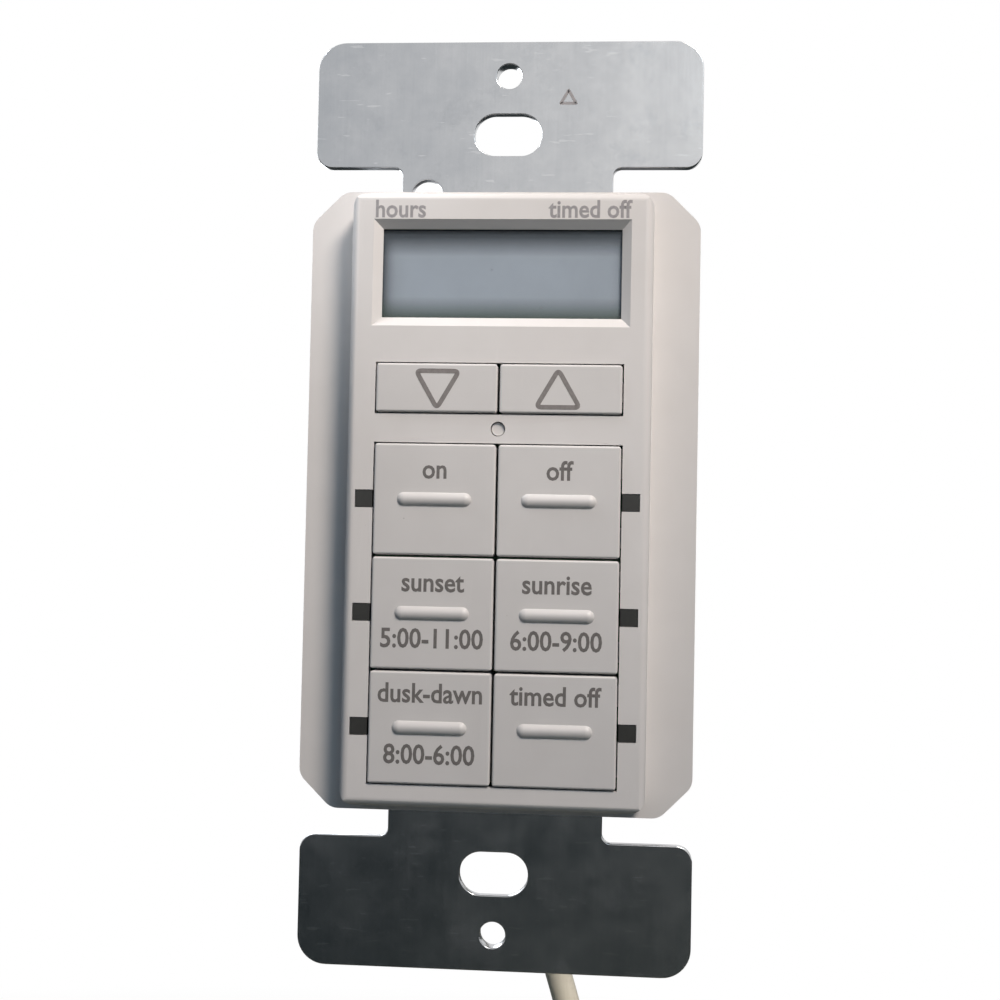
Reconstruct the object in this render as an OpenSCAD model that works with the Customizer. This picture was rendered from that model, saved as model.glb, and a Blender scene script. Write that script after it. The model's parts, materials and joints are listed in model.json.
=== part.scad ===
// In-wall digital timer switch of the rocker-opening size, at rest with every key up.
// Pieces are drawn flat: x to the right, y up, z out of the wall from the strap's rear face.
// stand() then turns them upright, so the front faces -Y and +Z is up.

/* [Mounting strap] */
// Overall height of the strap
strap_h = 104.8; // [103:0.2:112]
// Step from the bezel's edge out to the ear's edge
ear_step = 0.2; // [0:0.1:3]
// Thickness of the sheet steel
strap_t = 1.2; // [0.8:0.1:1.6]
// Corner radius at the far ends of the ears
ear_r = 3.2; // [1:0.1:5]
// Corner radius at the shoulders of the ears
shoulder_r = 1.8; // [0.5:0.1:3]
// Width of the necks between the ears and the frame
neck_w = 24; // [20:0.5:30]
// Length of neck that shows past the bezel
neck_show = 3.3; // [2.5:0.1:4]
// Fillet where a neck meets its ear
neck_fillet = 1; // [0.5:0.1:2]
// Centre distance of the two box-screw slots
slot_spacing = 83.34; // [83:0.02:84]
// Length of a box-screw slot
slot_l = 7.7; // [6:0.1:9]
// Width of a box-screw slot
slot_w = 4.8; // [4:0.1:5]
// Centre distance of the two tapped plate-screw holes
plate_spacing = 96.84; // [96:0.02:98]
// Bore of a tapped plate-screw hole
plate_bore = 2.9; // [2.6:0.1:3.2]
// Outer diameter of the drawn collar behind a tapped hole
collar_d = 4.6; // [4.2:0.1:5.2]
// Height of the drawn collar behind a tapped hole
collar_h = 0.8; // [0.4:0.1:1.2]
// Diameter of the earth hole in the upper neck
earth_d = 3.6; // [2.5:0.1:4]
// Distance of the earth hole to the left of the middle
earth_x = 9.1; // [8:0.1:9.4]
// Frame left between the window and the level of the insert's ends
window_end = 7.6; // [7.2:0.1:8.6]

/* [Bezel] */
// Width of the raised insert
insert_w = 33.2; // [32.6:0.1:35]
// Height of the raised insert
insert_h = 67.2; // [66:0.1:70]
// Height of the insert's face above the wall
face_z = 7.5; // [7.2:0.1:9]
// Thickness of the insert's face
face_t = 1.5; // [1.2:0.1:1.8]
// Side wall of the insert
insert_wall = 1.3; // [1:0.1:1.5]
// Corner radius of the insert
insert_r = 1.8; // [1:0.1:2.2]
// Rounding of the insert's front edge
insert_edge_r = 1; // [0.3:0.1:1.2]
// Flange beside the insert
ledge_w = 5.2; // [5:0.1:6.5]
// Flange above and below the insert
ledge_h = 1; // [0.8:0.1:2]
// Thickness of the flange
flange_t = 2; // [1.5:0.1:3]
// Corner chamfer of the flange
flange_chamfer = 3.6; // [2:0.1:4]
// Rounding at both ends of a corner chamfer
flange_corner_r = 2; // [0.5:0.1:2.5]

/* [Display] */
// Face left on each side of the display's recess
recess_side = 2.45; // [2.3:0.05:4.5]
// Height of the bevelled recess
recess_h = 11.8; // [10:0.1:12]
// Face left above the recess
recess_top = 3; // [2.9:0.1:3.6]
// Width of the bevel
bevel_w = 1; // [0.5:0.1:1.5]
// Depth of the bevel
bevel_d = 0.7; // [0.5:0.05:0.8]
// Straight step between the bevel and the clear window
recess_step = 0.15; // [0.1:0.05:0.3]
// Thickness of the clear display window
lens_t = 0.3; // [0.25:0.05:0.5]
// Thickness of each ply of display glass
ply_t = 0.8; // [0.5:0.05:0.9]
// Wall of the frame round the display
lcd_wall = 0.6; // [0.4:0.1:0.7]
// Width of a contact strip
strip_w = 1.1; // [0.8:0.1:1.2]

/* [Keys] */
// Face between the display recess and the arrow keys
arrow_drop = 4.15; // [3.4:0.05:4.6]
// Height of an arrow key
arrow_h = 5.35; // [4.6:0.05:6]
// Face between the arrow keys and the key pad, with the reset hole
reset_strip = 3.45; // [3.3:0.05:4.2]
// Face left below the key pad
pad_bottom = 2.57; // [2.4:0.01:3.5]
// Gap between neighbouring keys
key_gap = 0.25; // [0.2:0.05:0.5]
// Clearance between a key and the face round it
key_clear = 0.15; // [0.1:0.05:0.4]
// Height of the keys above the face
key_proud = 0.3; // [0.25:0.05:1]
// Travel of a key
key_travel = 0.35; // [0.2:0.05:0.4]
// Thickness of a key's front
key_plate = 1.2; // [0.8:0.1:1.6]
// Thickness of a key's skirt
key_wall = 1; // [0.7:0.1:1.3]
// Corner radius of a key
key_r = 0.4; // [0.3:0.1:0.8]
// Rounding of a key's front edge
key_edge_r = 0.25; // [0.1:0.05:0.4]
// Radius of the post that meets the switch
post_r = 2; // [1.5:0.1:2.2]
// Reach of a retaining tab behind the face
tab_reach = 1; // [0.8:0.1:1.1]
// Thickness of a retaining tab
tab_t = 0.8; // [0.6:0.1:1]
// Length of the grip bar on a pad key
bar_l = 8.15; // [6:0.05:10]
// Width of the grip bar
bar_w = 1.5; // [1.2:0.05:2.6]
// Height of the grip bar
bar_h = 0.4; // [0.3:0.05:0.7]
// Diameter of the reset hole
reset_d = 1.6; // [1.4:0.1:2]
// Depth of the reset pin below the face
reset_sink = 0.3; // [0.2:0.05:1]

/* [Indicators] */
// Side of the square light windows, across the keys
light_w = 1.96; // [1.7:0.02:2.2]
// Height of the light windows
light_h = 1.95; // [1.6:0.05:2.3]
// Face between a light window and the insert's side
light_land = 1.07; // [1:0.01:1.3]
// Height of a light-emitting chip
led_h = 0.8; // [0.5:0.1:1]

/* [Display board] */
// Thickness of the insulating sheet on the strap
sheet_t = 0.25; // [0.2:0.05:0.4]
// Thickness of the display board
board_t = 1.2; // [1:0.1:1.4]
// Side of a switch body
switch_w = 5.2; // [4:0.1:5.3]
// Height of a switch body
switch_h = 1.6; // [1.3:0.1:1.8]
// Radius of a switch plunger
plunger_r = 1.75; // [1.2:0.05:1.9]
// Height of a plunger above its switch
plunger_proud = 0.65; // [0.55:0.05:0.7]
// Distance of the board screws from the middle
board_screw_x = 10; // [8:0.1:11]
// Radius of the bosses for the board screws
boss_r = 1.3; // [1.1:0.05:1.4]
// Side of the controller chip
chip_w = 10; // [7:0.5:12]
// Height of the controller chip
chip_h = 1.4; // [1:0.1:1.6]
// Diameter of the backup cell
cell_d = 12.5; // [9:0.5:16]
// Height of the backup cell
cell_h = 2; // [1.5:0.1:2.5]

/* [Rear housing] */
// Depth of the rear housing behind the strap
housing_d = 28; // [26:0.5:36]
// Wall of the rear housing
housing_wall = 1.6; // [1.2:0.1:1.8]
// Step-in of the housing from the edge of the bezel, at the sides
housing_inset = 0.9; // [0.6:0.1:1.1]
// Step-in of the housing from the edge of the bezel, at the ends
housing_end_inset = 1.2; // [1:0.1:2]
// Depth of the rim behind the strap
rim_d = 3; // [2:0.5:5]
// Step from the rim to the body
rim_step = 0.4; // [0.2:0.1:0.5]
// Corner radius of the housing
housing_r = 2.5; // [1:0.1:3]
// Chamfer along the upper rear edge
rear_chamfer = 2; // [0.5:0.1:4]
// Slope at the lower rear edge, where the leads leave
lead_slope = 9; // [8.6:0.1:12]
// Height of the bare panel sunk into the rear wall
panel_h = 34; // [20:1:38]
// Depth of the panel and of the strip gauge below it
panel_d = 0.5; // [0.2:0.1:0.8]
// Spacing of the lead exits
exit_pitch = 8; // [7:0.1:8.4]
// Radius of the columns for the housing screws
column_r = 2.8; // [2.5:0.1:3]
// Depth at which the housing screws seat
seat_d = 8; // [6:0.5:14]
// Reach of the bezel's posts behind the strap
post_reach = 3.9; // [2.5:0.1:5]
// Radius of the bezel's posts
bezel_post_r = 1.9; // [1.7:0.1:2]
// Radius of a housing screw
screw_r = 1.1; // [0.9:0.05:1.2]
// Radius of a screw's head
head_r = 1.85; // [1.6:0.05:1.9]
// Height of a screw's head
head_h = 1.4; // [1:0.1:1.8]

/* [Power board] */
// Thickness of the power board
power_t = 1.6; // [1.2:0.1:2]
// Height of the posts under the power board
power_post_h = 2; // [1.8:0.1:4]
// Length of the relay
relay_l = 19.2; // [14:0.2:20]
// Height of the relay above its board
relay_h = 15.3; // [10:0.1:17]
// Width of the film capacitor
film_w = 6.5; // [4:0.5:8]
// Length of the film capacitor
film_l = 15; // [10:0.5:16]
// Height of the film capacitor above its board
film_h = 12.5; // [8:0.5:15]
// Width of the rectifier
rectifier_w = 8; // [5:0.5:9]
// Length of the rectifier
rectifier_l = 6; // [4:0.5:7]
// Height of the rectifier above its board
rectifier_h = 3.2; // [2:0.1:5]
// Diameter of the electrolytic capacitor
can_d = 8; // [5:0.5:9]
// Height of the electrolytic capacitor
can_h = 13; // [8:0.5:15]
// Diameter of the varistor
varistor_d = 9; // [5:0.5:10]
// Thickness of the varistor
varistor_t = 4; // [3:0.5:5]
// Diameter of the fuse
fuse_d = 5; // [3:0.5:5.5]
// Length of the fuse
fuse_l = 11; // [8:0.5:12]

/* [Lead] */
// Diameter of the lead over its insulation
lead_d = 3.5; // [2.5:0.1:3.6]
// Diameter of the stripped conductor
wire_d = 1.9; // [1.2:0.1:2.2]
// Length of the stripped end
strip_l = 12; // [6:1:16]

/* [Hidden] */
$fn = 48;
cut = 0.5;
small_gap = 0.05;
fit_gap = 0.1;
run_gap = 0.2;
room = 0.3;

pad_names = ["on", "off", "dusk", "dawn", "night", "timer"];
key_names = concat(["down", "up"], pad_names);
key_nodes = [for (n = key_names) str(n, "_key")];
plunger_nodes = [for (n = key_names) str(n, "_plunger")];
pipe_nodes = [for (n = pad_names) str(n, "_light_pipe")];

// Bezel outline and the depths in front of the wall
flange_w = insert_w + 2 * ledge_w;
flange_h = insert_h + 2 * ledge_h;
flange_z = strap_t + flange_t;
ear_w = flange_w + 2 * ear_step;
corner_steps = 5;
cavity_w = insert_w - 2 * insert_wall;
cavity_h = insert_h - 2 * insert_wall;
cavity_r = max(insert_r - insert_wall, room);
face_back = face_z - face_t;
shoulder_y = flange_h / 2 + neck_show;
board_back = strap_t + sheet_t;
board_front = board_back + board_t;
board_w = cavity_w - 2 * room;
board_h = cavity_h - 2 * room;
switch_top = board_front + switch_h;
plunger_top = switch_top + plunger_proud;

// Layout of the face, from the top down and from the sides in
recess_w = insert_w - 2 * recess_side;
recess_y = insert_h / 2 - recess_top - recess_h / 2;
arrow_top = recess_y - recess_h / 2 - arrow_drop;
arrow_y = arrow_top - arrow_h / 2;
reset_y = arrow_top - arrow_h - reset_strip / 2;
pad_top = arrow_top - arrow_h - reset_strip;
pad_end = -insert_h / 2 + pad_bottom;
opening_w = insert_w - 2 * (light_land + light_w);
key_w = (opening_w - 2 * key_clear - key_gap) / 2;
key_h = (pad_top - pad_end - 2 * key_gap) / 3;
key_front = face_z + key_proud;
key_skirt = board_front + key_travel + room;
arrow_skirt = switch_top + key_travel + room;
tab_front = face_back - fit_gap;
tab_w = 3;
tab_side = 3.8;
tab_side_h = 2.2;
reset_collar = 0.5;
reset_collar_r = reset_d / 2 + reset_collar;
reset_pin_r = reset_d / 2 - fit_gap;
reset_body = [4.2, 2.6];
reset_plunger_r = 1;

// A grip bar is the cap of a round bar with domed ends
bar_r = (bar_w * bar_w / 4 + bar_h * bar_h) / (2 * bar_h);

// Display stack, let into a pocket behind the face
lcd_top = cavity_h / 2 - room / 2;
lcd_half = lcd_top - recess_y;
glass_w = cavity_w - room - 2 * lcd_wall - 2 * fit_gap;
glass_h = 2 * (lcd_half - lcd_wall - fit_gap);
seat_z = face_z - bevel_d - recess_step;
lens_back = seat_z - lens_t;
ledge_z = lens_back - ply_t;
strip_y = glass_h / 2 - strip_w / 2 - fit_gap;
back_ply_h = glass_h - 2 * (strip_w + 3 * fit_gap);

// Light pipes stand beside the key pad, over the chips on the board
pipe_in = opening_w / 2 + small_gap;
pipe_out = insert_w / 2 - light_land - small_gap;
pipe_stem_out = cavity_w / 2 - run_gap;
pipe_lip = 0.5;
pipe_flange_h = light_h + 2 * pipe_lip;
pipe_end = board_front + led_h + room;
pipe_sink = 0.05;
led_size = [pipe_stem_out - pipe_in - run_gap, light_h, led_h];

// Rear housing
housing_w = flange_w - 2 * housing_inset;
housing_h = flange_h - 2 * housing_end_inset;
body_w = housing_w - 2 * rim_step;
body_h = housing_h - 2 * rim_step;
inner_w = body_w - 2 * housing_wall;
inner_h = body_h - 2 * housing_wall;
inner_slope = lead_slope - housing_wall * (2 - sqrt(2));
screw_inset = 4.1;
screw_x = body_w / 2 - column_r - fit_gap;
screw_y = insert_h / 2 - screw_inset;
screw_tip = strap_t + run_gap;
window_w = 2 * (board_screw_x + head_r + 2 * room);
window_h = insert_h - 2 * window_end;
window_r = 1.5;
panel_edge = 5;
panel_r = 1;
panel_w = body_w - 2 * panel_edge;
panel_y = body_h / 2 - rear_chamfer - panel_edge - panel_h / 2;
gauge_w = 2.4;
gauge_y = panel_y - panel_h / 2 - panel_edge / 2 - gauge_w / 2;
exit_count = 4;
exit_y = -body_h / 2 + lead_slope / 2;
exit_z = -housing_d + lead_slope / 2;
lead_clear = 0.15;
grommet_wall = 0.5;
grommet_lip = 0.55;
grommet_lip_h = 1;
grommet_bore_r = lead_d / 2 + lead_clear;
grommet_r = grommet_bore_r + grommet_wall;
grommet_lip_r = grommet_r + grommet_lip;

// Power board, on posts from the rear wall
power_back = -housing_d + housing_wall + power_post_h;
power_front = power_back + power_t;
power_w = inner_w - 2 * room;
power_top = screw_y - column_r - room;
power_low = exit_y + (housing_wall + grommet_lip_h + grommet_lip_r) * sqrt(0.5) + room;
power_h = power_top - power_low;
power_y = (power_top + power_low) / 2;
power_screw_edge = 3.5;
power_screw_x = power_w / 2 - power_screw_edge;
power_screw_y = power_h / 2 - power_screw_edge;

// Parts on the power board: a tall row above, a low row below it, then the header to the other board
board_edge = 1.4;
part_gap = 2;
case_r = 0.8;
crimp = 0.4;
crimp_z = 1.5;
leg_r = 0.4;
leg_h = 0.6;
dip_r = 1;
cap_l = 2.4;
header_pins = 6;
header_pitch = 2.54;
upper_y = power_y + power_screw_y - head_r - part_gap - relay_l / 2;
lower_y = upper_y - relay_l / 2 - part_gap;
relay_w = power_w - 2 * board_edge - 2 * part_gap - film_w - can_d;
relay_x = board_edge - power_w / 2 + relay_w / 2;
film_x = relay_x + relay_w / 2 + part_gap + film_w / 2;
can_x = film_x + film_w / 2 + part_gap + can_d / 2;
fuse_x = board_edge - power_w / 2 + fuse_d / 2;
fuse_y = lower_y - fuse_l / 2;
rectifier_x = fuse_x + fuse_d / 2 + part_gap + rectifier_w / 2;
rectifier_y = lower_y - rectifier_l / 2;
varistor_y = lower_y - varistor_d / 2;
header_w = header_pins * header_pitch;
header_y = lower_y - rectifier_l - part_gap - header_pitch / 2;
pin_w = 0.64;
crystal_r = 1;
cell_lid = 0.6;
chip_edge = 1;
chip_r = 0.5;
chip_y = window_h / 2 - chip_w / 2 - chip_edge;
cell_y = header_y + header_pitch / 2 + part_gap + cell_d / 2;
crystal_x = chip_w / 2 + part_gap + crystal_r;
crystal_l = 6;

// Route of the lead's middle line, upright, from inside its grommet to its stripped end
lead_route = [
    [4, 21, -26], [4, 24, -29], [4, 27, -32], [4, 29.5, -34.5], [4, 31.8, -37.2], [4, 33.4, -40.4],
    [4, 34.3, -44], [4, 34.6, -48], [4.2, 34.6, -52], [4.8, 34.6, -56.5], [5.8, 34.6, -60.5],
    [7, 34.6, -64.5], [8.3, 34.6, -69], [9.4, 34.6, -74], [10.3, 34.6, -80], [10.8, 34.6, -87],
    [11, 34.6, -95], [11, 34.6, -105], [11, 34.6, -115], [11, 34.6, -125], [11, 34.6, -135],
    [11, 34.6, -145], [11, 34.6, -152], [11, 34.6, -158]
];
lead_sides = 8;

// Key i: 0 and 1 are the arrows, 2 to 7 the pad in rows from the top
function side(i) = i % 2 == 0 ? -1 : 1;
function key_x(i) = side(i) * (key_w + key_gap) / 2;
function key_y(i) = i < 2 ? arrow_y
    : pad_top - key_h / 2 - (floor(i / 2) - 1) * (key_h + key_gap);
function key_height(i) = i < 2 ? arrow_h : key_h;

// Points of an arc of radius r that rounds the corner b between a and c
function fillet(a, b, c, r) = let(u = unit(a - b), v = unit(c - b), half = acos(u * v) / 2,
    t = r / tan(half), m = b + unit(u + v) * r / sin(half), n = corner_steps)
    [for (k = [0:n]) m + r * unit((n - k) * (b + t * u - m) + k * (b + t * v - m))];

// Ring of points round the lead at route point k
function unit(v) = v / norm(v);
function heading(k) = unit(lead_route[min(k + 1, len(lead_route) - 1)] - lead_route[max(k - 1, 0)]);
function ring(k) = let(t = heading(k), u = unit(cross(t, [1, 0, 0])), v = cross(t, u))
    [for (j = [0:lead_sides - 1]) lead_route[k]
        + lead_d / 2 * (cos(360 * j / lead_sides) * u + sin(360 * j / lead_sides) * v)];

module stand() {
    rotate([90, 0, 0]) children();
}

module corners(x, y) {
    for (sx = [-1, 1], sy = [-1, 1]) translate([sx * x, sy * y]) children();
}

module rounded(w, h, r) {
    square([w - 2 * r, h], center = true);
    square([w, h - 2 * r], center = true);
    corners(w / 2 - r, h / 2 - r) circle(r);
}

// Rectangle with the flange's corner chamfers, rounded at their ends
module chamfered(w, h) {
    x = w / 2;
    y = h / 2;
    c = flange_chamfer;
    p = [[x - c, -y], [x, c - y], [x, y - c], [x - c, y],
        [c - x, y], [-x, y - c], [-x, c - y], [c - x, -y]];
    polygon([for (k = [0:7]) each fillet(p[(k + 7) % 8], p[k], p[(k + 1) % 8], flange_corner_r)]);
}

module slot(l, w) {
    square([l - w, w], center = true);
    for (s = [-1, 1]) translate([s * (l - w) / 2, 0]) circle(w / 2);
}

module slab(z0, z1) {
    translate([0, 0, z0]) linear_extrude(z1 - z0) children();
}

// Prism along y or along x from a profile drawn in (across, z)
module along_y(l) {
    rotate([90, 0, 0]) linear_extrude(l, center = true) children();
}

module along_x(l) {
    rotate([90, 0, 90]) linear_extrude(l, center = true) children();
}

module edge_profile(w, z0, z1, r) {
    translate([-w / 2, z0]) square([w, z1 - z0 - r]);
    translate([-w / 2 + r, z0]) square([w - 2 * r, z1 - z0]);
    for (s = [-1, 1]) translate([s * (w / 2 - r), z1 - r]) circle(r);
}

// Block with rounded corners and a rounded front edge
module soft_block(w, h, corner_r, z0, z1, edge_r) {
    intersection() {
        slab(z0, z1) rounded(w, h, corner_r);
        along_y(h + 2 * cut) edge_profile(w, z0, z1, edge_r);
        along_x(w + 2 * cut) edge_profile(h, z0, z1, edge_r);
    }
}

module ear_outline() {
    top = strap_h / 2;
    body = top - shoulder_y;
    translate([-ear_w / 2, shoulder_y + shoulder_r]) square([ear_w, body - shoulder_r - ear_r]);
    translate([-ear_w / 2 + ear_r, shoulder_y + shoulder_r]) square([ear_w - 2 * ear_r, body - shoulder_r]);
    translate([-ear_w / 2 + shoulder_r, shoulder_y]) square([ear_w - 2 * shoulder_r, body - ear_r]);
    for (s = [-1, 1]) {
        translate([s * (ear_w / 2 - ear_r), top - ear_r]) circle(ear_r);
        translate([s * (ear_w / 2 - shoulder_r), shoulder_y + shoulder_r]) circle(shoulder_r);
    }
}

module neck_outline() {
    inner = window_h / 2 + cut;
    translate([-neck_w / 2, inner]) square([neck_w, shoulder_y + cut - inner]);
    for (s = [-1, 1]) translate([s * (neck_w / 2 + neck_fillet), shoulder_y - neck_fillet]) difference() {
        translate([-s * neck_fillet / 2, neck_fillet / 2 + cut / 2])
            square([neck_fillet, neck_fillet + cut], center = true);
        circle(neck_fillet);
    }
}

module strap_outline() {
    difference() {
        union() {
            chamfered(housing_w, flange_h - 2 * room);
            for (m = [0, 1]) mirror([0, m]) {
                ear_outline();
                neck_outline();
            }
        }
        rounded(window_w, window_h, window_r);
        for (s = [-1, 1]) {
            translate([0, s * slot_spacing / 2]) slot(slot_l, slot_w);
            translate([0, s * plate_spacing / 2]) circle(plate_bore / 2);
        }
        corners(screw_x, screw_y) circle(bezel_post_r + run_gap);
        translate([-earth_x, flange_h / 2 + fit_gap]) circle(earth_d / 2);
    }
}

module mounting_strap() {
    stand() color("#b9bdc0") {
        slab(0, strap_t) strap_outline();
        for (s = [-1, 1]) translate([0, s * plate_spacing / 2]) slab(-collar_h, 0) difference() {
            circle(collar_d / 2);
            circle(plate_bore / 2);
        }
    }
}

module recess_profile(w) {
    flare = cut * bevel_w / bevel_d;
    low = face_z - bevel_d;
    polygon([[-w / 2 - flare, face_z + cut], [w / 2 + flare, face_z + cut],
        [w / 2 - bevel_w, low], [-w / 2 + bevel_w, low]]);
}

module display_opening() {
    translate([0, recess_y, 0]) {
        intersection() {
            along_y(recess_h + 4 * cut) recess_profile(recess_w);
            along_x(recess_w + 4 * cut) recess_profile(recess_h);
        }
        slab(face_back - cut, face_z - bevel_d + cut / 2)
            square([recess_w - 2 * bevel_w, recess_h - 2 * bevel_w], center = true);
        slab(face_back - cut, seat_z) square([glass_w + 2 * fit_gap, glass_h + 2 * fit_gap], center = true);
    }
}

module key_openings() {
    slab(face_back - cut, face_z + cut) {
        translate([-opening_w / 2, arrow_top - arrow_h - key_clear])
            square([opening_w, arrow_h + 2 * key_clear]);
        translate([-opening_w / 2, pad_end - key_clear])
            square([opening_w, pad_top - pad_end + 2 * key_clear]);
        for (i = [2:7]) translate([side(i) * (opening_w / 2 - cut), key_y(i)])
            translate([side(i) * (light_w + cut) / 2, 0])
                square([light_w + cut, light_h], center = true);
    }
    translate([0, reset_y, face_back - cut]) cylinder(d = reset_d, h = face_t + 2 * cut);
}

module board_bosses() {
    for (s = [-1, 1]) translate([s * board_screw_x, reset_y, board_front]) difference() {
        cylinder(r = boss_r, h = face_back - board_front + cut);
        translate([0, 0, -cut]) cylinder(r = boss_r / 2, h = face_back - board_front + cut);
    }
}

module front_bezel() {
    stand() color("#dcd7d2") {
        difference() {
            union() {
                slab(strap_t, flange_z) chamfered(flange_w, flange_h);
                soft_block(insert_w, insert_h, insert_r, strap_t, face_z, insert_edge_r);
                corners(screw_x, screw_y) slab(-post_reach, flange_z - cut) circle(bezel_post_r);
            }
            slab(strap_t - cut, face_back) rounded(cavity_w, cavity_h, cavity_r);
            display_opening();
            key_openings();
            corners(screw_x, screw_y) slab(-post_reach - cut, screw_tip) circle(screw_r + small_gap);
        }
        board_bosses();
    }
}

// Side view of the housing: top-rear chamfer and lower slope, set in by a wall
module housing_profile(h, d, slope, chamfer) {
    polygon([[-h / 2, cut], [h / 2, cut], [h / 2, chamfer - d], [h / 2 - chamfer, -d],
        [slope - h / 2, -d], [-h / 2, slope - d]]);
}

module housing_outer() {
    slab(-rim_d, 0) rounded(housing_w, housing_h, housing_r);
    intersection() {
        slab(-housing_d - cut, 0) rounded(body_w, body_h, housing_r);
        along_x(body_w + 2 * cut) housing_profile(body_h, housing_d, lead_slope, rear_chamfer);
    }
}

module housing_inner() {
    intersection() {
        slab(-housing_d, 2 * cut) rounded(inner_w, inner_h, housing_r / 2);
        along_x(inner_w + 2 * cut)
            housing_profile(inner_h, housing_d - housing_wall, inner_slope, rear_chamfer);
    }
}

// Local z runs out of the sloped wall, from its outer face
module at_exits() {
    for (k = [0:exit_count - 1]) translate([(k - (exit_count - 1) / 2) * exit_pitch, exit_y, exit_z])
        rotate([135, 0, 0]) children();
}

// Bare panel in the rear wall, and a groove as long as the stripped end of a lead
module rear_marks() {
    slab(-housing_d - cut, panel_d - housing_d) {
        translate([0, panel_y]) rounded(panel_w, panel_h, panel_r);
        translate([0, gauge_y]) square([strip_l, gauge_w], center = true);
    }
}

module rear_housing() {
    stand() color("#2b2d2f") difference() {
        intersection() {
            union() {
                difference() {
                    housing_outer();
                    housing_inner();
                }
                corners(screw_x, screw_y) slab(-housing_d, 0) circle(column_r);
                translate([0, power_y]) corners(power_screw_x, power_screw_y)
                    slab(-housing_d + cut, power_back) circle(head_r);
            }
            housing_outer();
        }
        corners(screw_x, screw_y) {
            slab(-post_reach - fit_gap, cut) circle(bezel_post_r + run_gap);
            slab(-seat_d - cut, cut) circle(screw_r + room);
            slab(-housing_d - cut, -seat_d) circle(head_r + run_gap);
        }
        translate([0, power_y]) corners(power_screw_x, power_screw_y)
            slab(-housing_d + housing_wall, power_back + cut) circle(screw_r + small_gap);
        rear_marks();
        at_exits() translate([0, 0, -2 * housing_wall])
            cylinder(r = grommet_r + fit_gap, h = 3 * housing_wall);
    }
}

// Screw along z with its head below z = 0
module screw(l) {
    translate([0, 0, -head_h]) cylinder(r = head_r, h = head_h);
    translate([0, 0, -cut]) cylinder(r = screw_r, h = l + cut);
}

module housing_screws() {
    stand() color("#9a9da0") corners(screw_x, screw_y) translate([0, 0, -seat_d])
        screw(seat_d + screw_tip - fit_gap);
}

module lcd_window() {
    stand() color("#c9d3d6", 0.5) translate([0, recess_y, 0]) slab(lens_back, seat_z)
        square([glass_w, glass_h], center = true);
}

module lcd_panel() {
    stand() color("#8d9ea3") translate([0, recess_y, 0]) {
        slab(ledge_z, lens_back) square([glass_w, glass_h], center = true);
        slab(ledge_z - ply_t, ledge_z) square([glass_w, back_ply_h], center = true);
    }
}

module lcd_frame() {
    stand() color("#e4e2dc") translate([0, recess_y, 0]) slab(board_front, face_back) difference() {
        square([glass_w + 2 * (lcd_wall + fit_gap), 2 * lcd_half], center = true);
        square([glass_w + 2 * fit_gap, glass_h + 2 * fit_gap], center = true);
    }
}

module contact_strips() {
    stand() color("#3a3a3c") for (s = [-1, 1]) translate([0, recess_y + s * strip_y, 0])
        slab(board_front, ledge_z) square([glass_w - 2 * room, strip_w], center = true);
}

module insulating_sheet() {
    stand() color("#d8c58a") slab(strap_t, board_back) difference() {
        square([board_w, board_h], center = true);
        rounded(window_w - 2 * room, window_h - 2 * room, window_r);
    }
}

module display_board() {
    stand() color("#2f6b3c") slab(board_back, board_front) difference() {
        square([board_w, board_h], center = true);
        for (s = [-1, 1]) translate([s * board_screw_x, reset_y]) circle(boss_r / 2 + fit_gap);
    }
}

module display_board_screws() {
    stand() color("#9a9da0") for (s = [-1, 1]) translate([s * board_screw_x, reset_y, board_back]) {
        translate([0, 0, -head_h]) cylinder(r = head_r, h = head_h);
        cylinder(r = boss_r / 2 - small_gap, h = face_back - board_back - fit_gap);
    }
}

module switch_bodies() {
    stand() color("#26282a") {
        for (i = [0:7]) translate([key_x(i), key_y(i)]) slab(board_front, switch_top) difference() {
            square(switch_w, center = true);
            circle(plunger_r + fit_gap);
        }
        translate([0, reset_y]) slab(board_front, switch_top) difference() {
            square(reset_body, center = true);
            circle(reset_plunger_r + fit_gap);
        }
    }
}

module plunger(r) {
    slab(board_front + key_travel + fit_gap, plunger_top) circle(r);
}

module key_plunger(i) {
    stand() color("#33363a") translate([key_x(i), key_y(i)]) plunger(plunger_r);
}

module reset_plunger() {
    stand() color("#33363a") translate([0, reset_y]) plunger(reset_plunger_r);
}

module reset_pin() {
    stand() color("#dcd7d2") translate([0, reset_y]) {
        slab(plunger_top, face_z - reset_sink) circle(reset_pin_r);
        slab(plunger_top, tab_front) circle(reset_collar_r);
    }
}

// Grip bar lying along x on the key's front
module grip_bar() {
    half = (bar_l - bar_w) / 2;
    translate([0, 0, key_front + bar_h - bar_r]) rotate([0, 90, 0]) rotate_extrude() intersection() {
        union() {
            square([2 * bar_r, 2 * half], center = true);
            for (s = [-1, 1]) translate([0, s * half]) circle(bar_r);
        }
        translate([0, -bar_l]) square([2 * bar_r, 2 * bar_l]);
    }
}

// Tabs that hold a key behind the face, on its outer side and at the open end of its row
module key_tabs(i) {
    root = key_wall / 2;
    slab(tab_front - tab_t, tab_front) {
        for (s = i < 2 ? [0] : [-1, 1])
            translate([side(i) * (key_w / 2 - root), s * tab_side - tab_side_h / 2])
                translate([side(i) > 0 ? 0 : -root - tab_reach, 0]) square([root + tab_reach, tab_side_h]);
        if (i < 4) translate([-tab_w / 2, key_height(i) / 2 - root]) square([tab_w, root + tab_reach]);
        if (i > 5) translate([-tab_w / 2, -key_h / 2 - tab_reach]) square([tab_w, root + tab_reach]);
    }
}

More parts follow.
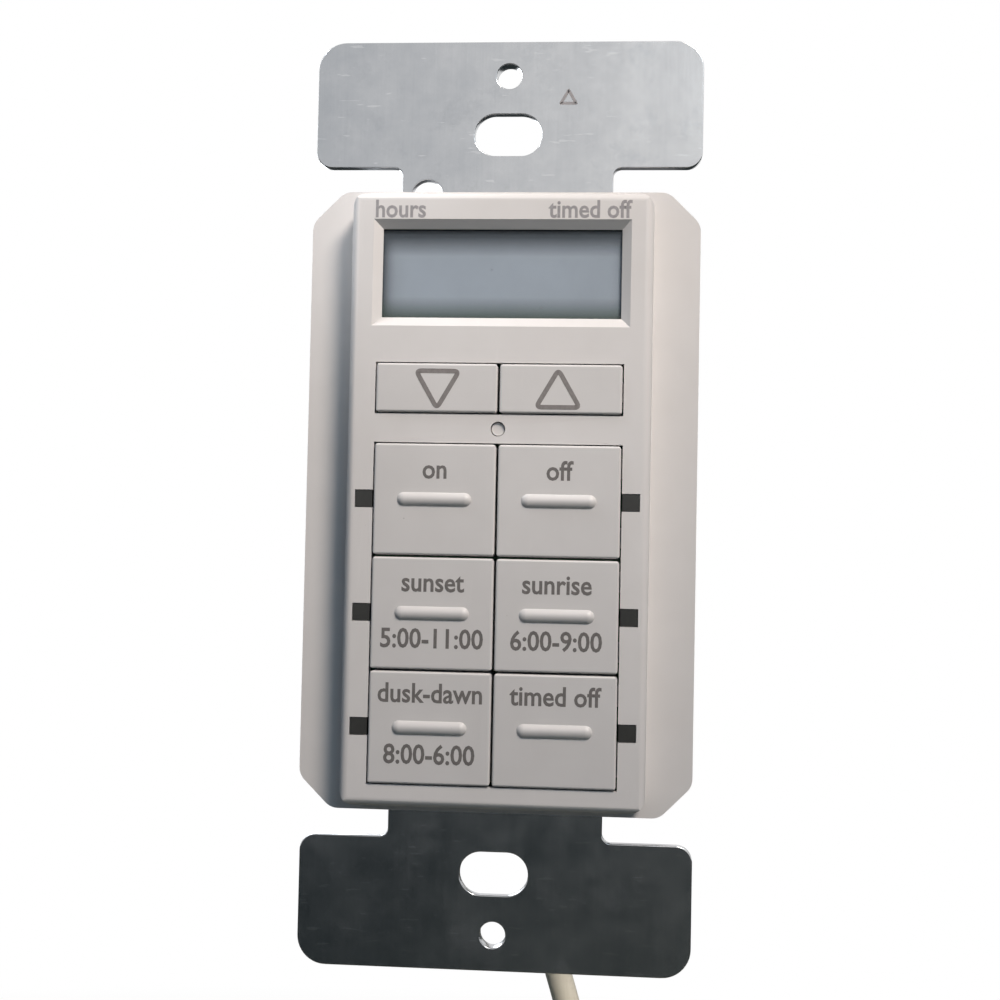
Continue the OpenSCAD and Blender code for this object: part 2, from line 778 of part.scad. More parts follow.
module key(i) {
    h = key_height(i);
    skirt = i < 2 ? arrow_skirt : key_skirt;
    inside = key_front - key_plate;
    stand() color("#dedad5") translate([key_x(i), key_y(i)]) {
        difference() {
            union() {
                soft_block(key_w, h, key_r, skirt, key_front, key_edge_r);
                key_tabs(i);
            }
            slab(skirt - cut, inside) square([key_w - 2 * key_wall, h - 2 * key_wall], center = true);
        }
        slab(plunger_top, inside + cut) circle(min(post_r, h / 2 - key_wall - room));
        if (i > 1) intersection() {
            grip_bar();
            slab(inside + cut, key_front + bar_h + cut) square([key_w, h], center = true);
        }
    }
}

// Light pipe beside key i: square head in the face, flange behind it, stem down to its chip
module light_pipe(i) {
    stand() color("#4d4f4d") translate([0, key_y(i)]) mirror([side(i) < 0 ? 1 : 0, 0, 0]) {
        slab(face_back, face_z - pipe_sink) translate([pipe_in, -light_h / 2 + small_gap])
            square([pipe_out - pipe_in, light_h - 2 * small_gap]);
        slab(face_back - tab_t, face_back) translate([pipe_in, -pipe_flange_h / 2])
            square([pipe_stem_out - pipe_in, pipe_flange_h]);
        slab(pipe_end, face_back - tab_t) translate([pipe_in, -light_h / 2])
            square([pipe_stem_out - pipe_in, light_h]);
    }
}

module indicator_leds() {
    stand() color("#e8dfae") for (i = [2:7]) translate([
        side(i) * (pipe_in + pipe_stem_out) / 2, key_y(i), board_front + led_h / 2])
        cube(led_size, center = true);
}

module controller_chip() {
    stand() color("#1f2123") translate([0, chip_y]) slab(board_back - chip_h, board_back)
        rounded(chip_w, chip_w, chip_r);
}

module crystal() {
    stand() color("#b5b8ba") translate([crystal_x, chip_y, board_back - crystal_r - fit_gap])
        rotate([90, 0, 0]) cylinder(r = crystal_r, h = crystal_l, center = true);
}

// Coin cell: a wide cup below a narrower lid
module backup_cell() {
    stand() color("#b9bcbe") translate([0, cell_y]) {
        slab(board_back - cell_h, board_back - cell_lid) circle(cell_d / 2);
        slab(board_back - cell_lid, board_back) circle(cell_d / 2 - cell_lid);
    }
}

// Pins joined by a bar at each board
module board_header() {
    stand() color("#1d1f21") translate([0, header_y]) {
        for (z = [power_front, board_back - header_pitch]) slab(z, z + header_pitch)
            square([header_w, header_pitch], center = true);
        for (k = [0:header_pins - 1]) translate([(k - (header_pins - 1) / 2) * header_pitch, 0])
            slab(power_front + cut, board_back - cut) square(pin_w, center = true);
    }
}

module power_board() {
    stand() color("#3b7a3f") translate([0, power_y]) slab(power_back, power_front) difference() {
        square([power_w, power_h], center = true);
        corners(power_screw_x, power_screw_y) circle(screw_r + run_gap);
    }
}

module power_board_screws() {
    stand() color("#9a9da0") translate([0, power_y, power_front]) corners(power_screw_x, power_screw_y) {
        cylinder(r = head_r, h = head_h);
        translate([0, 0, -power_t - power_post_h + fit_gap])
            cylinder(r = screw_r, h = power_t + power_post_h);
    }
}

// Moulded case on the power board, with rounded corners and a rounded front edge
module moulded_case(x, y, w, l, h) {
    translate([x, y]) soft_block(w, l, case_r, power_front, power_front + h, case_r / 2);
}

module relay() {
    stand() color("#23262a") moulded_case(relay_x, upper_y, relay_w, relay_l, relay_h);
}

module film_capacitor() {
    stand() color("#c9a23c") moulded_case(film_x, upper_y, film_w, film_l, film_h);
}

module rectifier() {
    stand() color("#1f2123") moulded_case(rectifier_x, rectifier_y, rectifier_w, rectifier_l, rectifier_h);
}

// Can with a crimped groove above its base and a chamfered top
module can_capacitor() {
    r = can_d / 2;
    stand() color("#2d3f66") translate([can_x, upper_y, power_front]) rotate_extrude() polygon([
        [0, 0], [r, 0], [r, crimp_z], [r - crimp, crimp_z + crimp], [r, crimp_z + 2 * crimp],
        [r, can_h - crimp], [r - crimp, can_h], [0, can_h]]);
}

// Wire legs that carry a part lying above the power board at height h
module legs(x, y, h, step) {
    for (s = [-1, 1]) translate([x, y + s * step]) slab(power_front, power_front + h) circle(leg_r);
}

// Dipped disc on edge
module varistor() {
    r = varistor_d / 2;
    h = r + leg_h;
    stand() color("#2f6fb0") {
        translate([can_x, varistor_y, power_front + h]) rotate([0, 90, 0]) rotate_extrude() polygon([
            [0, -varistor_t / 2], [r - dip_r, -varistor_t / 2], [r, dip_r - varistor_t / 2],
            [r, varistor_t / 2 - dip_r], [r - dip_r, varistor_t / 2], [0, varistor_t / 2]]);
        legs(can_x, varistor_y, h, r / 2);
    }
}

// Barrel with a cap at each end
module fuse() {
    h = fuse_d / 2 + leg_h;
    stand() color("#6b4a34") {
        translate([fuse_x, fuse_y, power_front + h]) rotate([90, 0, 0]) {
            cylinder(d = fuse_d - 2 * crimp, h = fuse_l, center = true);
            for (s = [-1, 1]) translate([0, 0, s * (fuse_l - cap_l) / 2])
                cylinder(d = fuse_d, h = cap_l, center = true);
        }
        legs(fuse_x, fuse_y, h, (fuse_l - cap_l) / 2);
    }
}

// Grommets that line the lead exits and clip to both faces of the sloped wall
module lead_grommets() {
    w = housing_wall;
    stand() color("#1b1c1d") at_exits() rotate_extrude() polygon([
        [grommet_bore_r, -w - grommet_lip_h], [grommet_lip_r, -w - grommet_lip_h], [grommet_lip_r, -w],
        [grommet_r, -w], [grommet_r, 0], [grommet_lip_r, 0], [grommet_lip_r, grommet_lip_h],
        [grommet_bore_r, grommet_lip_h]]);
}

// Hook-up lead swept along its route
module neutral_lead() {
    n = lead_sides;
    last = len(lead_route) - 1;
    points = [for (k = [0:last]) each ring(k)];
    walls = [for (k = [0:last - 1], j = [0:n - 1]) let(a = k * n + j, b = k * n + (j + 1) % n)
        each [[a, a + n, b], [b, a + n, b + n]]];
    caps = [for (j = [1:n - 2]) each [[0, j, j + 1], [last * n, last * n + j + 1, last * n + j]]];
    color("#cfc6b4") polyhedron(points, concat(walls, caps));
}

module neutral_lead_wire() {
    tip = lead_route[len(lead_route) - 1];
    color("#b87348") translate(tip - [0, 0, strip_l]) cylinder(d = wire_d, h = strip_l);
}

mounting_strap();
front_bezel();
rear_housing();
housing_screws();
lcd_window();
lcd_panel();
lcd_frame();
contact_strips();
insulating_sheet();
display_board();
display_board_screws();
switch_bodies();
indicator_leds();
reset_pin();
reset_plunger();
controller_chip();
crystal();
backup_cell();
board_header();
power_board();
power_board_screws();
relay();
film_capacitor();
can_capacitor();
varistor();
fuse();
rectifier();
lead_grommets();
neutral_lead();
neutral_lead_wire();
for (i = [0:7]) key(i);
for (i = [0:7]) key_plunger(i);
for (i = [0:5]) light_pipe(i + 2);
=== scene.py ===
import json
import math

import bmesh
import bpy
from mathutils import Euler, Matrix, Vector

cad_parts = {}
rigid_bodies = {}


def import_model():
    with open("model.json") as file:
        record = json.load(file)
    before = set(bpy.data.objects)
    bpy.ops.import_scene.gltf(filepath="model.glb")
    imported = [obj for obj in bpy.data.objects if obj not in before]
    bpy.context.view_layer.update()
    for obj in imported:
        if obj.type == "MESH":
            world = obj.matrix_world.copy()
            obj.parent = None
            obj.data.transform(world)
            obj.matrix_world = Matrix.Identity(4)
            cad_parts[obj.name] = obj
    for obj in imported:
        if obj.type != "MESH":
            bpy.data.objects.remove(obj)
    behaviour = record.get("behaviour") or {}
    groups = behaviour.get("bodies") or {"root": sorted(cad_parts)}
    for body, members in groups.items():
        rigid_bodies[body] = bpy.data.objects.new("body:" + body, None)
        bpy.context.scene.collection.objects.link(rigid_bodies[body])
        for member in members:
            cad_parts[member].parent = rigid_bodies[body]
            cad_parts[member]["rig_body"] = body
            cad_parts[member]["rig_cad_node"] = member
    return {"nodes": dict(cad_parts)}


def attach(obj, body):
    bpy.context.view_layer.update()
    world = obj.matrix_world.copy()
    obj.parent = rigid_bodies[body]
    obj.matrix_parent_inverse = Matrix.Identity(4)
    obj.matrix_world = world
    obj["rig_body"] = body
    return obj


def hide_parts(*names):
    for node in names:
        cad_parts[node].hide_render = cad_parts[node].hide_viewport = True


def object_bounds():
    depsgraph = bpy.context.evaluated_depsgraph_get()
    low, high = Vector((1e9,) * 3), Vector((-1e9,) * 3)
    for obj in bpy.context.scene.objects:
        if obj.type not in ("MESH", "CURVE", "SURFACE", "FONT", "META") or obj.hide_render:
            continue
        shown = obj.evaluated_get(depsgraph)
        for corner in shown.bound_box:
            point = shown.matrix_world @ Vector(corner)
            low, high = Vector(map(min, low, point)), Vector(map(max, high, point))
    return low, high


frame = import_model()
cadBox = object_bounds()
nodes = frame["nodes"]
mm = 0.001
mergeReach = 1e-6  # points closer than this, in metres, are one
straightOn = 0.99999  # share of a normal along one axis, for a face that looks straight along it
print("frame loaded:", len(nodes), "nodes")


# camera, fitted to the photograph's frame
cameraSettings = {
    "place": (0.01345, -0.17097, -0.00660),
    "turn": (2.348, 4.519, 1.176),
    "lens": 54.46,
    "sensor": 36.0,
    "nearest": 0.01,
}


def addCamera(s):
    bpy.ops.object.camera_add()
    camera = bpy.context.object
    camera.name = "photoCamera"
    level = Matrix.Rotation(math.radians(90), 4, "X")
    lean = Euler([math.radians(a) for a in s["turn"]], "XYZ").to_matrix().to_4x4()
    camera.matrix_world = Matrix.Translation(s["place"]) @ level @ lean
    camera.data.lens = s["lens"]
    camera.data.sensor_width = s["sensor"]
    camera.data.clip_start = s["nearest"]
    bpy.context.scene.camera = camera


addCamera(cameraSettings)
print("camera placed")


# small helpers for picking and shaping
def deselectAll():
    if bpy.context.object and bpy.context.object.mode != "OBJECT":
        bpy.ops.object.mode_set(mode="OBJECT")
    bpy.ops.object.select_all(action="DESELECT")


def pick(piece):
    deselectAll()
    piece.select_set(True)
    bpy.context.view_layer.objects.active = piece


def applyModifiers(piece):
    pick(piece)
    for modifier in list(piece.modifiers):
        bpy.ops.object.modifier_apply(modifier=modifier.name)


def freeze(piece):
    pick(piece)
    bpy.ops.object.transform_apply(location=True, rotation=True, scale=True)


def toMesh(piece):
    pick(piece)
    bpy.ops.object.convert(target="MESH")
    return bpy.context.object


def smoothShade(piece, angle=35):
    pick(piece)
    bpy.ops.object.shade_smooth_by_angle(angle=math.radians(angle))


def joinPieces(pieces, name):
    deselectAll()
    for piece in pieces:
        piece.select_set(True)
    bpy.context.view_layer.objects.active = pieces[0]
    bpy.ops.object.join()
    whole = bpy.context.object
    whole.name = whole.data.name = name
    return whole


# closes what a conversion leaves apart, and turns every face outwards
def mend(piece):
    pick(piece)
    bpy.ops.object.mode_set(mode="EDIT")
    bpy.ops.mesh.select_all(action="SELECT")
    bpy.ops.mesh.remove_doubles(threshold=mergeReach)
    bpy.ops.mesh.dissolve_degenerate(threshold=mergeReach)
    bpy.ops.mesh.normals_make_consistent(inside=False)
    bpy.ops.object.mode_set(mode="OBJECT")


# flat drawing (x right, y up, z out of the wall) to the standing part
def standUp(piece):
    piece.matrix_world = Matrix.Rotation(math.radians(90), 4, "X") @ piece.matrix_world
    freeze(piece)


def dress(piece, material, body, stands=()):
    piece.data.materials.clear()
    piece.data.materials.append(material)
    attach(piece, body)
    if stands:
        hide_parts(*stands)
    return piece


# merged copy of a node, its sharp edges softened except inside the small ring that stays crisp;
# joinFlats is the angle in degrees below which neighbouring faces become one
def softCopy(node, name, width, segments=2, angle=28, joinFlats=0, crisp=None):
    pick(nodes[node])
    bpy.ops.object.duplicate()
    piece = bpy.context.object
    piece.name = piece.data.name = name
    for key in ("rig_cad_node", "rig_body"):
        del piece[key]
    piece.parent = None
    bpy.ops.mesh.customdata_custom_splitnormals_clear()
    bpy.ops.object.mode_set(mode="EDIT")
    bpy.ops.mesh.select_all(action="SELECT")
    bpy.ops.mesh.remove_doubles(threshold=mergeReach)
    if joinFlats:
        bpy.ops.mesh.dissolve_limited(angle_limit=math.radians(joinFlats))
    bpy.ops.mesh.select_mode(type="EDGE")
    bpy.ops.mesh.select_all(action="DESELECT")
    bpy.ops.mesh.edges_select_sharp(sharpness=math.radians(angle))
    if crisp:
        leaveCrisp(piece, *crisp)
    bpy.ops.mesh.bevel(offset=width * mm, segments=segments, clamp_overlap=True, miter_outer="ARC",
                       face_strength_mode="ALL")
    bpy.ops.object.mode_set(mode="OBJECT")
    smoothShade(piece, angle)
    flatten = piece.modifiers.new("flatFaces", "WEIGHTED_NORMAL")  # wide faces stay flat
    flatten.keep_sharp = True
    flatten.use_face_influence = True
    applyModifiers(piece)
    squareFlats(piece)
    return piece


# faces that look straight along an axis are shaded flat up to their last corner
def squareFlats(piece):
    mesh = piece.data
    normals = [corner.vector.copy() for corner in mesh.corner_normals]
    for face in mesh.polygons:
        if max(abs(part) for part in face.normal) > straightOn:
            for corner in face.loop_indices:
                normals[corner] = face.normal.copy()
    mesh.normals_split_custom_set(normals)


# drops the edges near one place from the selection
def leaveCrisp(piece, x, y, radius):
    drawn = bmesh.from_edit_mesh(piece.data)
    for edge in drawn.edges:
        middle = (edge.verts[0].co + edge.verts[1].co) / 2
        if math.hypot(middle.x - x * mm, middle.z - y * mm) < radius * mm:
            edge.select_set(False)
    bmesh.update_edit_mesh(piece.data)


# lead: its route is the part's own, in millimetres
leadSettings = {
    "route": [
        (4, 21, -26), (4, 24, -29), (4, 27, -32), (4, 29.5, -34.5), (4, 31.8, -37.2), (4, 33.4, -40.4),
        (4, 34.3, -44), (4, 34.6, -48), (4.2, 34.6, -52), (4.8, 34.6, -56.5), (5.8, 34.6, -60.5),
        (7, 34.6, -64.5), (8.3, 34.6, -69), (9.4, 34.6, -74), (10.3, 34.6, -80), (10.8, 34.6, -87),
        (11, 34.6, -95), (11, 34.6, -105), (11, 34.6, -115), (11, 34.6, -125), (11, 34.6, -135),
        (11, 34.6, -145), (11, 34.6, -152), (11, 34.6, -158),
    ],
    "exit": (4, 23.5, -28.5),
    "diameter": 3.5,
    "length": 137.6,
    "steps": 6,
    "round": 6,
}


def addLead(s):
    curve = bpy.data.curves.new("hookupLead", "CURVE")
    curve.dimensions = "3D"
    spline = curve.splines.new("BEZIER")
    spline.bezier_points.add(len(s["route"]) - 1)
    for point, place in zip(spline.bezier_points, s["route"]):
        point.co = Vector(place) * mm
        point.handle_left_type = point.handle_right_type = "AUTO"
    curve.resolution_u = s["steps"]
    curve.bevel_depth = s["diameter"] / 2 * mm
    curve.bevel_resolution = s["round"]
    curve.use_fill_caps = True
    lead = bpy.data.objects.new("hookupLead", curve)
    bpy.context.scene.collection.objects.link(lead)
    return lead


lead = addLead(leadSettings)

# stripped end: six strands laid round a straight one
strandSettings = {
    "count": 6,
    "top": -156.5,
    "tip": -169.9,
    "strand": 0.62,
    "lay": 26.0,  # length of one full turn
    "uneven": 0.35,
    "steps": 28,
    "round": 3,
    "smooth": 50,
}


def addStrand(s, number, spread):
    curve = bpy.data.curves.new("strand", "CURVE")
    curve.dimensions = "3D"
    spline = curve.splines.new("POLY")
    tip = s["tip"] + (s["uneven"] * (number % 3) if spread else 0)
    spline.points.add(s["steps"] - 1)
    x, y = leadSettings["route"][-1][:2]
    for step, point in enumerate(spline.points):
        z = s["top"] + (tip - s["top"]) * step / (s["steps"] - 1)
        turn = 2 * math.pi * (number / s["count"] + (s["top"] - z) / s["lay"])
        point.co = ((x + spread * math.cos(turn)) * mm, (y + spread * math.sin(turn)) * mm, z * mm, 1)
    curve.bevel_depth = s["strand"] / 2 * mm
    curve.bevel_resolution = s["round"]
    curve.use_fill_caps = True
    strand = bpy.data.objects.new("strand", curve)
    bpy.context.scene.collection.objects.link(strand)
    return toMesh(strand)


def addStrippedEnd(s):
    strands = [addStrand(s, 0, 0.0)]
    strands += [addStrand(s, number, s["strand"]) for number in range(s["count"])]
    whole = joinPieces(strands, "strippedEnd")
    smoothShade(whole, s["smooth"])
    return whole


strippedEnd = addStrippedEnd(strandSettings)
print("lead laid")


# shader maths: one class round a socket, and one method for any other node
class Wire:
    def __init__(self, tree, socket=None):
        self.tree = tree
        self.socket = socket

    def add(self, kind, settings=None, sockets=None, out=0):
        node = self.tree.nodes.new(kind)
        for name, value in (settings or {}).items():
            setattr(node, name, value)
        for name, value in (sockets or {}).items():
            if isinstance(value, Wire):
                self.tree.links.new(value.socket, node.inputs[name])
            else:
                node.inputs[name].default_value = value
        return Wire(self.tree, node.outputs[out] if node.outputs else None)

    def maths(self, operation, first, second):
        return self.add("ShaderNodeMath", {"operation": operation}, {0: first, 1: second})

    def __add__(self, other):
        return self.maths("ADD", self, other)

    def __radd__(self, other):
        return self.maths("ADD", other, self)

    def __sub__(self, other):
        return self.maths("SUBTRACT", self, other)

    def __rsub__(self, other):
        return self.maths("SUBTRACT", other, self)

    def __mul__(self, other):
        return self.maths("MULTIPLY", self, other)

    def __rmul__(self, other):
        return self.maths("MULTIPLY", other, self)

    def over(self, limit):
        return self.maths("GREATER_THAN", self, limit)

    def span(self, low, high, first=0.0, last=1.0):
        sockets = {0: self, 1: low, 2: high, 3: first, 4: last}
        return self.add("ShaderNodeMapRange", {"clamp": True}, sockets)

    def blend(self, first, second):
        sockets = {0: self, 6: rgba(first), 7: rgba(second)}  # 6, 7 and output 2 are the colour ones
        return self.add("ShaderNodeMix", {"data_type": "RGBA"}, sockets, out=2)


def rgba(colour):
    return colour if isinstance(colour, Wire) else (*colour, 1)


def scaled(colour, factor):
    return [min(1, part * factor) for part in colour]


# an empty node tree on a material or a world
def blankTree(owner):
    owner.use_nodes = True
    owner.node_tree.nodes.clear()
    return Wire(owner.node_tree)


# a new material with its shader, and the point on the piece to paint by
def startFinish(name, **sockets):
    material = bpy.data.materials.new(name)
    wire = blankTree(material)
    plain = {socket.replace("_", " "): value for socket, value in sockets.items()}
    shader = wire.add("ShaderNodeBsdfPrincipled", None, plain)
    wire.add("ShaderNodeOutputMaterial", None, {"Surface": shader})
    point = wire.add("ShaderNodeTexCoord", out="Object")
    return material, shader.socket.node, point


def feed(shader, **sockets):
    for name, wire in sockets.items():
        wire.tree.links.new(wire.socket, shader.inputs[name.replace("_", " ")])


def stretched(point, scale):
    return point.add("ShaderNodeMapping", None, {"Vector": point, "Scale": scale})


def noise(point, scale, detail=2.0, rough=0.5):
    sockets = {"Vector": point, "Scale": scale, "Detail": detail, "Roughness": rough}
    return point.add("ShaderNodeTexNoise", None, sockets)


def along(point, axis):
    return point.add("ShaderNodeSeparateXYZ", None, {0: point}, out=axis)


def cells(point, scale, out="Distance"):
    return point.add("ShaderNodeTexVoronoi", None, {"Vector": point, "Scale": scale}, out=out)


def bump(height, strength, distance, under=None):
    sockets = {"Height": height, "Strength": strength, "Distance": distance}
    if under:
        sockets["Normal"] = under
    return height.add("ShaderNodeBump", None, sockets)


# rare dark flecks, one cell in many
def flecks(point, scale, radius, share):
    near = cells(point, scale).span(radius * 0.6, radius, 1.0, 0.0)
    chosen = point.add("ShaderNodeSeparateColor", None, {0: cells(point, scale, "Color")})
    return near * chosen.over(1 - share)


# satin moulding: faint mottle, spark-eroded skin, handling scuffs and a few flecks
def mouldedPlastic(name, colour, shade, rough, skin=0.12, fleckShare=0.03):
    material, shader, point = startFinish(name, IOR=1.49)
    mottle = noise(point, scale=55, detail=3, rough=0.6)
    cloud = noise(point, scale=260)
    scuff = noise(stretched(point, (900, 900, 90)), scale=1, detail=4, rough=0.7).span(0.62, 0.75)
    dot = flecks(point, scale=700, radius=0.075, share=fleckShare)
    tone = (mottle * 0.6 + cloud * 0.4).span(0.35, 0.65).blend(shade, colour)
    worn = (scuff * 0.35).blend(tone, scaled(colour, 1.06))
    marked = (dot * 0.7).blend(worn, scaled(colour, 0.25))
    grain = noise(point, scale=5200, rough=0.6)
    relief = bump(grain, strength=skin, distance=2.2e-5)
    feed(shader, Base_Color=marked,
         Roughness=mottle * 0.10 + grain * 0.06 + scuff * 0.07 + (rough - 0.08),
         Normal=bump(scuff, strength=0.10, distance=6e-6, under=relief))
    return material


# zinc plate: rolled grain along the strap, soft spangle, stains and scratches,
# and a painted reflection that makes the plate brighter from the left edge to the right one
def zincPlate(name, bright, dull, rough, halfWidth):
    material, shader, point = startFinish(name, Metallic=1.0)
    rolled = noise(stretched(point, (5200, 5200, 130)), scale=1, detail=3, rough=0.65)
    spangle = noise(point, scale=420, detail=3, rough=0.6)
    bloom = noise(point, scale=90, detail=4, rough=0.65)
    scratch = noise(stretched(point, (420, 420, 2600)), scale=1, rough=0.4).span(0.70, 0.74)
    stain = noise(point, scale=170, detail=5, rough=0.7).span(0.56, 0.72)
    mottle = (rolled * 0.15 + spangle * 0.35 + bloom * 0.50).span(0.28, 0.72)
    # painted reflection: tone rising from the strap's left edge to its right edge
    paintedSweep = along(point, "X").span(-halfWidth * mm, halfWidth * mm)
    tone = (mottle * 0.4 + paintedSweep * 0.6).blend(dull, bright)
    stained = (stain * 0.25).blend(tone, scaled(dull, 0.75))
    scratched = (scratch * 0.22).blend(stained, scaled(bright, 1.25))
    relief = bump(rolled + spangle, strength=0.22, distance=1.2e-5)
    feed(shader, Base_Color=scratched,
         Roughness=spangle * 0.08 + bloom * 0.09 + rolled * 0.06 + stain * 0.05 + (rough - 0.13),
         Normal=bump(scratch, strength=0.25, distance=8e-6, under=relief))
    return material


# printed legend: slightly uneven cover
def padInk(name, colour):
    material, shader, point = startFinish(name)
    cover = noise(point, scale=2600, detail=3, rough=0.6)
    tone = cover.span(0.35, 0.65).blend(scaled(colour, 0.90), scaled(colour, 1.10))
    feed(shader, Base_Color=tone, Roughness=cover * 0.12 + 0.50,
         Normal=bump(cover, strength=0.15, distance=6e-6))
    return material


# blank display: grey-blue field with painted shade darkening it towards the edges of its window, and a
# painted dark greenish reflection along its bottom
displaySettings = {
    "field": (0.366, 0.404, 0.462),
    # painted reflection: dark greenish colour laid along the bottom of the window
    "paintedFoot": (0.040, 0.064, 0.047),
    # painted shade: the colour the field darkens to near the window's edges
    "shade": (0.045, 0.055, 0.070),
    "middle": 24.7,
    "half": (13.15, 4.9),
    "rim": {  # start and end of each side's painted shade in millimetres, and its strength
        "left": (0.0, 1.7, 1.0),
        "right": (0.0, 1.4, 0.35),
        "top": (0.8, 2.9, 1.0),
        "paintedFoot": (0.0, 2.4, 0.95),
    },
}


def displayGlass(name, s):
    material, shader, point = startFinish(name, IOR=1.52, Specular_IOR_Level=0.3)
    x, z = along(point, "X"), along(point, "Z")
    halfWidth, halfHeight = s["half"]
    edges = {
        "left": x + halfWidth * mm,
        "right": halfWidth * mm - x,
        "top": (s["middle"] + halfHeight) * mm - z,
        "paintedFoot": z - (s["middle"] - halfHeight) * mm,
    }
    # painted shade ramps, by distance from each edge of the window
    rim = {}
    for side, away in edges.items():
        start, end, strength = s["rim"][side]
        rim[side] = away.span(start * mm, end * mm, strength, 0.0)
    sparkle = noise(point, scale=9000, rough=0.6)
    cloud = noise(point, scale=130, detail=3, rough=0.6)
    mottle = (sparkle * 0.4 + cloud * 0.6).span(0.35, 0.65)
    tone = mottle.blend(scaled(s["field"], 0.94), scaled(s["field"], 1.06))
    # painted shade at the sides, then at the top, and the painted greenish reflection along the bottom
    for side in ("left", "right"):
        tone = (rim[side] * rim[side] * (1 / s["rim"][side][2])).blend(tone, s["shade"])
    tone = rim["paintedFoot"].blend(rim["top"].blend(tone, s["shade"]), s["paintedFoot"])
    mark = flecks(point, scale=260, radius=0.06, share=0.03)
    feed(shader, Base_Color=(mark * 0.5).blend(tone, s["shade"]),
         Roughness=cloud * 0.1 + 0.26, Normal=bump(sparkle, strength=0.06, distance=1e-5))
    return material


# clear cover: mirror share by angle, otherwise see-through, with dust and fine rub marks
def clearCover(name):
    material = bpy.data.materials.new(name)
    wire = blankTree(material)
    point = wire.add("ShaderNodeTexCoord", out="Object")
    rub = noise(stretched(point, (1500, 1500, 300)), scale=1, detail=3, rough=0.6).span(0.60, 0.75)
    dust = flecks(point, scale=900, radius=0.16, share=0.05)
    gloss = wire.add("ShaderNodeBsdfPrincipled", None, {
        "Base Color": (0.60, 0.64, 0.66, 1), "Roughness": rub * 0.10 + 0.06, "IOR": 1.49})
    clear = wire.add("ShaderNodeBsdfTransparent", None, {"Color": (0.965, 0.975, 0.975, 1)})
    slant = wire.add("ShaderNodeLayerWeight", None, {"Blend": 0.5}, out="Facing")
    share = slant * slant * slant * slant * 0.45 + dust * 0.18 + rub * 0.015 + 0.02
    mixed = wire.add("ShaderNodeMixShader", None, {0: share, 1: clear, 2: gloss})
    wire.add("ShaderNodeOutputMaterial", None, {"Surface": mixed})
    return material


# moulded, rubbery or coated compounds, with a little pale dust
def compound(name, colour, rough, grainScale=2600, skin=0.1, coat=0.0):
    material, shader, point = startFinish(name, Coat_Weight=coat, Coat_Roughness=0.12)
    grain = noise(point, scale=grainScale, detail=3, rough=0.6)
    cloud = noise(point, scale=120, detail=3, rough=0.6)
    dust = flecks(point, scale=700, radius=0.2, share=0.05)
    mottle = (grain * 0.5 + cloud * 0.5).span(0.35, 0.65)
    tone = mottle.blend(scaled(colour, 0.85), scaled(colour, 1.18))
    feed(shader, Base_Color=(dust * 0.25).blend(tone, (0.42, 0.41, 0.39)),
         Roughness=cloud * 0.14 + grain * 0.08 + (rough - 0.11),
         Normal=bump(grain, strength=skin, distance=2e-5))
    return material


# extruded lead cover: die lines along its run, handling marks
def leadCover(name, colour, shade):
    material, shader, point = startFinish(name, IOR=1.5)
    lines = noise(stretched(point, (3600, 3600, 60)), scale=1)
    cloud = noise(point, scale=160, detail=4, rough=0.65)
    grime = noise(point, scale=380, detail=4, rough=0.7).span(0.58, 0.72)
    tone = (lines * 0.3 + cloud * 0.7).span(0.35, 0.65).blend(shade, colour)
    feed(shader, Base_Color=(grime * 0.35).blend(tone, scaled(shade, 0.55)),
         Roughness=cloud * 0.16 + lines * 0.06 + 0.34,
         Normal=bump(lines, strength=0.18, distance=1.5e-5))
    return material


# drawn metal for strands, screws and cans
def drawnMetal(name, bright, dull, rough, run=(2600, 2600, 120)):
    material, shader, point = startFinish(name, Metallic=1.0)
    drawn = noise(stretched(point, run), scale=1, detail=3, rough=0.6)
    film = noise(point, scale=500, detail=4, rough=0.7)
    tone = (drawn * 0.5 + film * 0.5).span(0.36, 0.64).blend(dull, bright)
    feed(shader, Base_Color=tone, Roughness=film * 0.2 + drawn * 0.1 + (rough - 0.15),
         Normal=bump(drawn, strength=0.2, distance=8e-6))
    return material


# woven laminate under solder mask, with copper runs showing through
def boardLaminate(name, mask, run):
    material, shader, point = startFinish(name, Coat_Weight=0.4, Coat_Roughness=0.25)
    weave = point.add("ShaderNodeTexChecker", None, {"Vector": point, "Scale": 2200}, out="Fac")
    upright = point.add("ShaderNodeMapping", None, {
        "Vector": point, "Rotation": (math.radians(90), 0, 0)})
    tracks = point.add("ShaderNodeTexBrick", {"offset": 0.5}, {
        "Vector": upright, "Scale": 160, "Mortar Size": 0.06, "Brick Width": 0.9,
        "Row Height": 0.35}, out="Fac")
    tone = (weave * 0.25).blend(mask, scaled(mask, 0.8))
    feed(shader, Base_Color=(tracks * 0.6).blend(tone, run),
         Roughness=noise(point, scale=700, detail=3) * 0.2 + 0.3,
         Normal=bump(tracks, strength=0.3, distance=3e-5))
    return material


bezelPlastic = mouldedPlastic("bezelPlastic", (0.690, 0.668, 0.650), (0.655, 0.632, 0.612), rough=0.46)
keyPlastic = mouldedPlastic(
    "keyPlastic", (0.640, 0.622, 0.606), (0.610, 0.592, 0.576), rough=0.44, skin=0.10)
